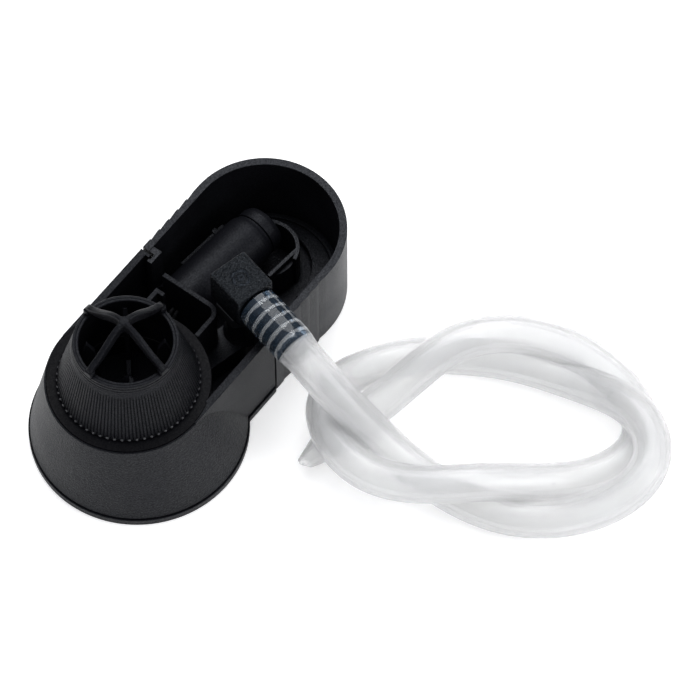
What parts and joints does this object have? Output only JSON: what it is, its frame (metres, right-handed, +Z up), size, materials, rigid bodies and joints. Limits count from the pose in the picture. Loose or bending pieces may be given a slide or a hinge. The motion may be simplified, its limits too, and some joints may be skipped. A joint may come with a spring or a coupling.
{
  "type": "pool cleaner",
  "caption": "Small battery pool cleaner: flared suction head with ribbed nozzle cone and guard, sliding rear cover, battery capsule and clear silicone outlet hose.",
  "frame": {"origin": "on the nozzle cone's axis, at the face plate's resting face", "axes": "+X towards the rear cover, +Z up along the nozzle axis (the open side is up), -Y is the side where the hose leaves"},
  "size_m": [0.1622, 0.2098, 0.0806],
  "materials": {
    "black_shell": "fine spark-eroded satin",
    "dark_moulding": "smooth satin",
    "nylon": "tooled satin",
    "black_rubber": "matte",
    "red_rubber": "matte",
    "clear_silicone": "milky clear, glossy",
    "steel": "plated",
    "bronze": "satin",
    "copper": "enamelled winding",
    "ferrite": "pressed",
    "white_plastic": "satin",
    "cell_wrap": "shrink film",
    "board_green": "solder mask",
    "component_black": "epoxy",
    "lead_red": "insulation"
  },
  "bodies": {
    "base": {"face_plate": "black_shell", "face_gasket": "black_rubber", "face_screws": "steel", "front_housing": "black_shell", "pump_deck": "black_shell", "inner_bracket": "black_shell", "motor_sleeve": "dark_moulding", "pump_chamber": "dark_moulding", "chamber_seal": "black_rubber", "motor_can": "steel", "motor_magnets": "ferrite", "motor_end_bell": "white_plastic", "upper_bush": "bronze", "lower_bush": "bronze", "shaft_seal": "black_rubber", "outlet_duct": "dark_moulding", "duct_cover": "dark_moulding", "elbow": "nylon", "elbow_nut": "nylon", "stem_oring": "black_rubber", "battery_capsule": "dark_moulding", "battery_cell": "cell_wrap", "front_contact": "bronze", "control_board": "board_green", "board_parts": "component_black", "tact_switch": "component_black", "motor_leads": "lead_red", "battery_leads": "black_rubber", "lead_gland": "black_rubber", "hose_cuff": "clear_silicone", "hose": "clear_silicone", "hose_tip": "clear_silicone"},
    "rear_cover": {"rear_cover": "black_shell"},
    "nozzle": {"nozzle_cone": "black_shell", "intake_guard": "dark_moulding"},
    "rotor": {"impeller": "dark_moulding", "drive_shaft": "steel", "motor_rotor": "copper"},
    "battery_cap": {"capsule_cap": "dark_moulding", "cap_oring": "red_rubber", "cap_spring": "steel"},
    "button": {"power_button": "black_rubber", "switch_plunger": "white_plastic"}
  },
  "joints": [
    {"name": "cover_slide", "type": "slide", "parent": "base", "child": "rear_cover", "axis": [1, 0, 0], "range_m": [0, 0.06]},
    {"name": "nozzle_twist", "type": "hinge", "parent": "base", "child": "nozzle", "pos_m": [0, 0, 0.04], "axis": [0, 0, 1], "range_deg": [0, 45]},
    {"name": "impeller_spin", "type": "hinge", "parent": "base", "child": "rotor", "pos_m": [0, 0, 0.03], "axis": [0, 0, 1], "continuous": true},
    {"name": "cap_twist", "type": "hinge", "parent": "base", "child": "battery_cap", "pos_m": [0.0426, 0.0121, 0.0204], "axis": [0.9962, -0.0872, 0], "range_deg": [0, 90]},
    {"name": "button_press", "type": "slide", "parent": "base", "child": "button", "axis": [0, 0, 1], "range_m": [0, 0.0008], "stiffness_N_per_m": 400}
  ]
}
